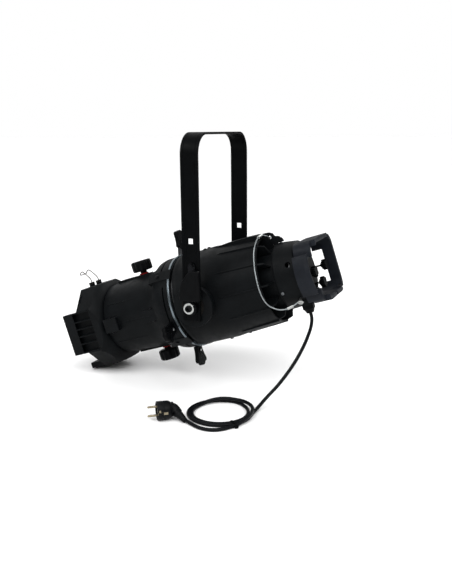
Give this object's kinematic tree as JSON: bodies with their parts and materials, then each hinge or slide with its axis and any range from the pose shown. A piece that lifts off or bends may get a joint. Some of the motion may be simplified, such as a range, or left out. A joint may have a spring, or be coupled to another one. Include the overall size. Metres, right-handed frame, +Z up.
{
  "type": "ellipsoidal spotlight",
  "caption": "Black ellipsoidal stage spotlight on a flat-bar yoke, with sliding shutters, a focusing lens tube, a colour-frame holder and a cord with an earthed plug.",
  "frame": {"origin": "centre of the hanging bolt hole in the yoke's top bar, halfway through the bar", "axes": "+Z up along the bolt hole, +X along the tilt axis towards the lock lever, the beam leaves towards -Y and 18 degrees down"},
  "size_m": [0.4355, 0.6442, 0.5695],
  "materials": {
    "cast_black": "satin black textured paint on die-cast aluminium",
    "yoke_paint": "semi-gloss black powder coat",
    "lever_steel": "black-oxide steel",
    "moulded_black": "moulded heat-proof plastic",
    "reflector_glass": "polished reflector",
    "friction_fibre": "pressed fibre",
    "black_screws": "blackened steel",
    "bright_steel": "bright plated steel",
    "bright_ring": "machined bright rim",
    "carrier_aluminium": "machined aluminium",
    "ceramic": "steatite ceramic",
    "lamp_metal": "lamp heat sink",
    "lamp_glass": "quartz",
    "wire_rope": "galvanised wire rope",
    "shutter_steel": "heat-tinted stainless steel",
    "lens_glass": "polished borosilicate",
    "red_washer": "red fibre washer",
    "cord_rubber": "rubber-sheathed cord",
    "tie_plastic": "black cable tie",
    "plug_rubber": "solid rubber plug",
    "plug_brass": "nickelled brass pins"
  },
  "bodies": {
    "yoke": {"yoke": "yoke_paint", "cord_drop": "cord_rubber", "cord_coil": "cord_rubber", "cord_tail": "cord_rubber", "cord_tie": "tie_plastic", "plug_body": "plug_rubber", "plug_relief": "cord_rubber", "plug_pins": "plug_brass", "plug_earth": "plug_brass"},
    "tilt_lever": {"lever_arm": "lever_steel", "lever_grip": "moulded_black", "lever_pin": "lever_steel"},
    "lamp_body": {"reflector_housing": "cast_black", "reflector": "reflector_glass", "pivot_disc_near": "cast_black", "pivot_disc_far": "cast_black", "friction_washers": "friction_fibre", "pivot_screw_near": "black_screws", "pivot_ring_near": "bright_steel", "pivot_bolt_far": "black_screws", "housing_screws": "black_screws", "lamp_cap": "cast_black", "cap_screws": "bright_steel", "rear_guard": "cast_black", "lamp_carrier": "carrier_aluminium", "carrier_springs": "bright_steel", "lamp_socket": "ceramic", "lamp_base": "lamp_metal", "lamp_bulb": "lamp_glass", "terminal_block": "ceramic", "earth_screw": "bright_steel", "cable_gland": "moulded_black", "safety_wire": "wire_rope", "wire_ferrules": "bright_steel", "wire_screw": "bright_steel"},
    "align_knob_near": {"align_knob_near": "moulded_black"},
    "align_knob_far": {"align_knob_far": "moulded_black"},
    "align_knob_low": {"align_knob_low": "moulded_black"},
    "barrel": {"barrel_upper": "cast_black", "barrel_lower": "cast_black", "barrel_screws": "black_screws", "gate_ring": "bright_ring", "shutter_plates": "shutter_steel"},
    "shutter_top": {"shutter_blade_top": "shutter_steel", "shutter_handle_top": "moulded_black"},
    "shutter_bottom": {"shutter_blade_bottom": "shutter_steel", "shutter_handle_bottom": "moulded_black"},
    "shutter_near": {"shutter_blade_near": "shutter_steel", "shutter_handle_near": "moulded_black"},
    "shutter_far": {"shutter_blade_far": "shutter_steel", "shutter_handle_far": "moulded_black"},
    "lens_tube": {"lens_tube": "cast_black", "front_holder": "cast_black", "front_lens": "lens_glass", "rear_lens": "lens_glass", "lens_rings": "carrier_aluminium", "focus_washers": "red_washer"},
    "focus_knob_top": {"focus_knob_top": "moulded_black"},
    "focus_knob_bottom": {"focus_knob_bottom": "moulded_black"},
    "colour_clip": {"colour_clip": "bright_steel"}
  },
  "joints": [
    {"name": "tilt", "type": "hinge", "parent": "yoke", "child": "lamp_body", "pos_m": [0, 0, -0.36], "axis": [1, 0, 0], "range_deg": [-70, 70], "deforming": ["cord_drop"]},
    {"name": "lever_turn", "type": "hinge", "parent": "yoke", "child": "tilt_lever", "pos_m": [0, 0, -0.36], "axis": [1, 0, 0], "range_deg": [-30, 90]},
    {"name": "barrel_turn", "type": "hinge", "parent": "lamp_body", "child": "barrel", "pos_m": [0, 0, -0.36], "axis": [0, 0.9511, 0.309], "range_deg": [-25, 25]},
    {"name": "focus_slide", "type": "slide", "parent": "barrel", "child": "lens_tube", "axis": [0, -0.9511, -0.309], "range_m": [0, 0.05]},
    {"name": "shutter_top_slide", "type": "slide", "parent": "barrel", "child": "shutter_top", "axis": [-0.4384, -0.2777, 0.8548], "range_m": [-0.03, 0.008]},
    {"name": "shutter_bottom_slide", "type": "slide", "parent": "barrel", "child": "shutter_bottom", "axis": [0.1045, 0.3073, -0.9458], "range_m": [0, 0.038]},
    {"name": "shutter_near_slide", "type": "slide", "parent": "barrel", "child": "shutter_near", "axis": [0.9397, 0.1057, -0.3253], "range_m": [0, 0.038]},
    {"name": "shutter_far_slide", "type": "slide", "parent": "barrel", "child": "shutter_far", "axis": [-0.9976, 0.0216, -0.0663], "range_m": [0, 0.038]},
    {"name": "focus_knob_top_turn", "type": "hinge", "parent": "lens_tube", "child": "focus_knob_top", "pos_m": [0, -0.16263, -0.41284], "axis": [0, -0.309, 0.9511], "range_deg": [-180, 180]},
    {"name": "focus_knob_bottom_turn", "type": "hinge", "parent": "lens_tube", "child": "focus_knob_bottom", "pos_m": [0, -0.16263, -0.41284], "axis": [0, -0.309, 0.9511], "range_deg": [-180, 180]},
    {"name": "colour_clip_swing", "type": "hinge", "parent": "lens_tube", "child": "colour_clip", "pos_m": [0, -0.33052, -0.35888], "axis": [1, 0, 0], "range_deg": [-35, 60]},
    {"name": "align_near_turn", "type": "hinge", "parent": "lamp_body", "child": "align_knob_near", "pos_m": [0.038, 0.00062, -0.3619], "axis": [0, 0.9511, 0.309], "range_deg": [-180, 180]},
    {"name": "align_far_turn", "type": "hinge", "parent": "lamp_body", "child": "align_knob_far", "pos_m": [-0.043, 0.00031, -0.36095], "axis": [0, 0.9511, 0.309], "range_deg": [-180, 180]},
    {"name": "align_low_turn", "type": "hinge", "parent": "lamp_body", "child": "align_knob_low", "pos_m": [0, 0.00989, -0.39043], "axis": [0, 0.9511, 0.309], "range_deg": [-180, 180]}
  ]
}
